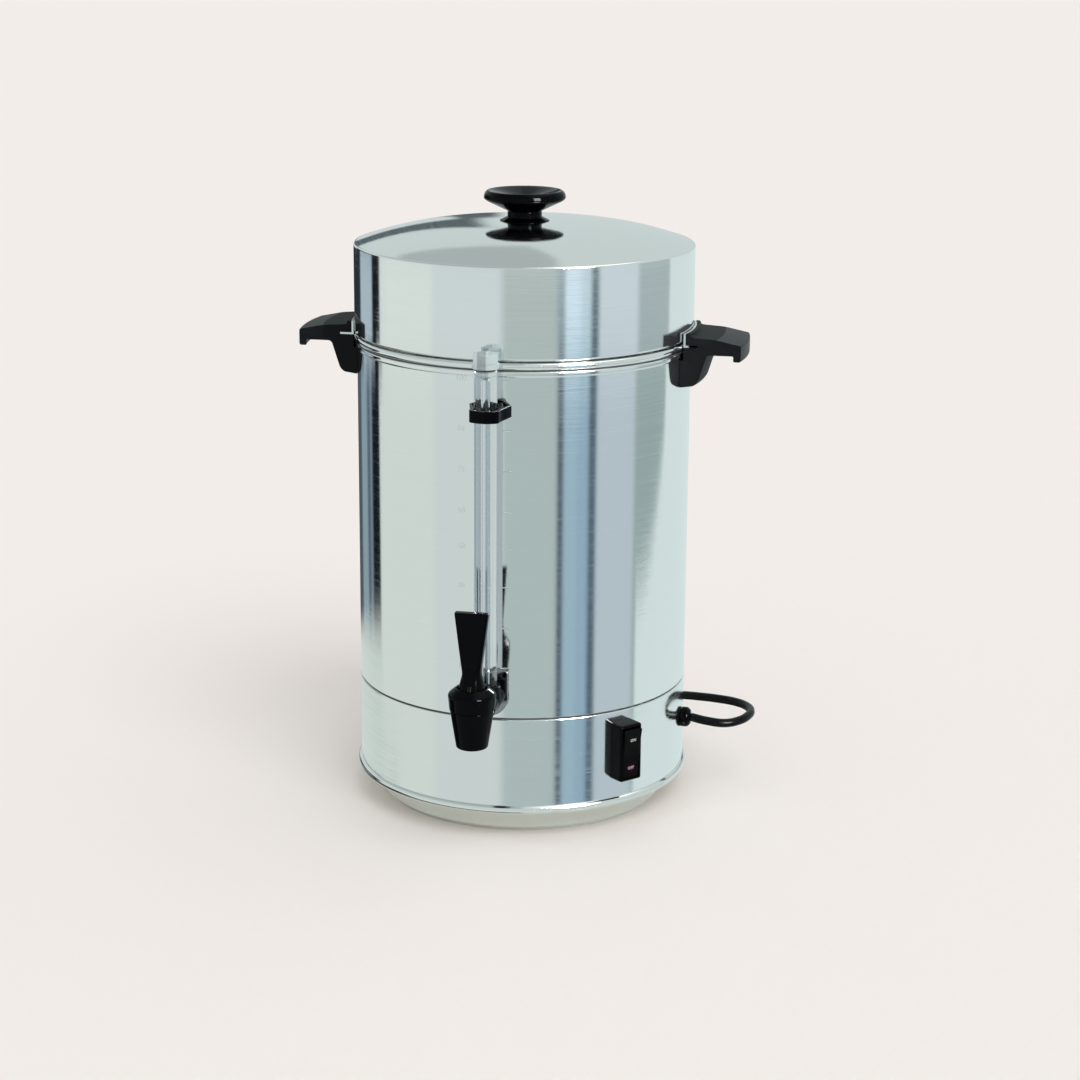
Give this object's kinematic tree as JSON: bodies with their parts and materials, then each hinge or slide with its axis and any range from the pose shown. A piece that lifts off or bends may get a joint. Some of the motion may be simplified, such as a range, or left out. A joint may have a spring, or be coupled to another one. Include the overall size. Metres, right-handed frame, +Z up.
{
  "type": "hot drinks urn",
  "caption": "Tall round percolating drinks urn with a deep lifting lid, side handles, sight gauge, lever faucet, rocker switch and mains cord.",
  "frame": {"origin": "on the urn's axis, at the underside of the foot pan", "axes": "+Z up; the faucet faces -Y; the handles are at +X and -X; the cord leaves at +X"},
  "size_m": [0.3635, 0.4377, 0.4858],
  "materials": {
    "polished_aluminium": "polished, fine turned lines",
    "satin_base": "satin pale paint",
    "plated_steel": "bright plated",
    "shield_sheet": "mill",
    "heater_sheath": "oxidised",
    "ceramic": "glazed",
    "wire_red": "smooth sleeve",
    "gloss_black": "moulded gloss",
    "satin_black": "moulded satin",
    "clear_tube": "clear",
    "seal_rubber": "moulded silicone",
    "cord_jacket": "smooth vinyl",
    "contact_brass": "plain",
    "basket_aluminium": "bright rolled"
  },
  "bodies": {
    "urn": {"tank": "polished_aluminium", "base_skirt": "polished_aluminium", "foot_pan": "satin_base", "base_studs": "plated_steel", "base_nuts": "plated_steel", "shield_nuts": "plated_steel", "handle_screws": "plated_steel", "valve_spring": "plated_steel", "rocker_pin": "plated_steel", "bracket_right": "plated_steel", "bracket_left": "plated_steel", "heat_shield": "shield_sheet", "shield_spacers": "shield_sheet", "heating_element": "heater_sheath", "thermostat": "ceramic", "thermal_fuse": "ceramic", "wires": "wire_red", "faucet_body": "gloss_black", "faucet_bonnet": "gloss_black", "gauge_shank": "gloss_black", "shank_nut": "gloss_black", "gauge_clip": "gloss_black", "switch_housing": "gloss_black", "handle_right": "satin_black", "handle_left": "satin_black", "strain_relief": "satin_black", "plug_body": "satin_black", "gauge_tube": "clear_tube", "gauge_cap": "clear_tube", "handle_seals": "seal_rubber", "gauge_seal": "seal_rubber", "shank_gaskets": "seal_rubber", "power_cord": "cord_jacket", "cord_coil": "cord_jacket", "cord_tie": "cord_jacket", "switch_terminals": "contact_brass", "plug_blades": "contact_brass"},
    "lid": {"lid": "polished_aluminium", "lid_knob": "gloss_black", "knob_guard": "gloss_black", "knob_screw": "plated_steel", "knob_washer": "plated_steel"},
    "basket": {"pump_tube": "basket_aluminium", "pump_base": "basket_aluminium", "basket": "basket_aluminium"},
    "cover": {"basket_cover": "basket_aluminium"},
    "stem": {"valve_stem": "plated_steel", "seat_cup": "seal_rubber"},
    "lever": {"faucet_lever": "gloss_black", "lever_pin": "plated_steel"},
    "rocker": {"switch_rocker": "gloss_black"}
  },
  "joints": [
    {"name": "lid_lift", "type": "slide", "parent": "urn", "child": "lid", "axis": [0, 0, 1], "range_m": [0, 0.12]},
    {"name": "basket_lift", "type": "slide", "parent": "urn", "child": "basket", "axis": [0, 0, 1], "range_m": [0, 0.03]},
    {"name": "cover_lift", "type": "slide", "parent": "basket", "child": "cover", "axis": [0, 0, 1], "range_m": [0, 0.02]},
    {"name": "stem_lift", "type": "slide", "parent": "urn", "child": "stem", "axis": [0, 0, 1], "range_m": [0, 0.006], "deforming": ["valve_spring"]},
    {"name": "lever_tilt", "type": "hinge", "parent": "stem", "child": "lever", "pos_m": [0, -0.195, 0.1469], "axis": [1, 0, 0], "range_deg": [0, 40], "stiffness_Nm_per_rad": 0.2},
    {"name": "rocker_tip", "type": "hinge", "parent": "urn", "child": "rocker", "pos_m": [0.10173, -0.09487, 0.0662], "axis": [-0.682, -0.7314, 0], "range_deg": [0, 12]}
  ],
  "couplings": [
    {"joint": "stem_lift", "follows": "lever_tilt", "m_per_rad": 0.008594}
  ]
}
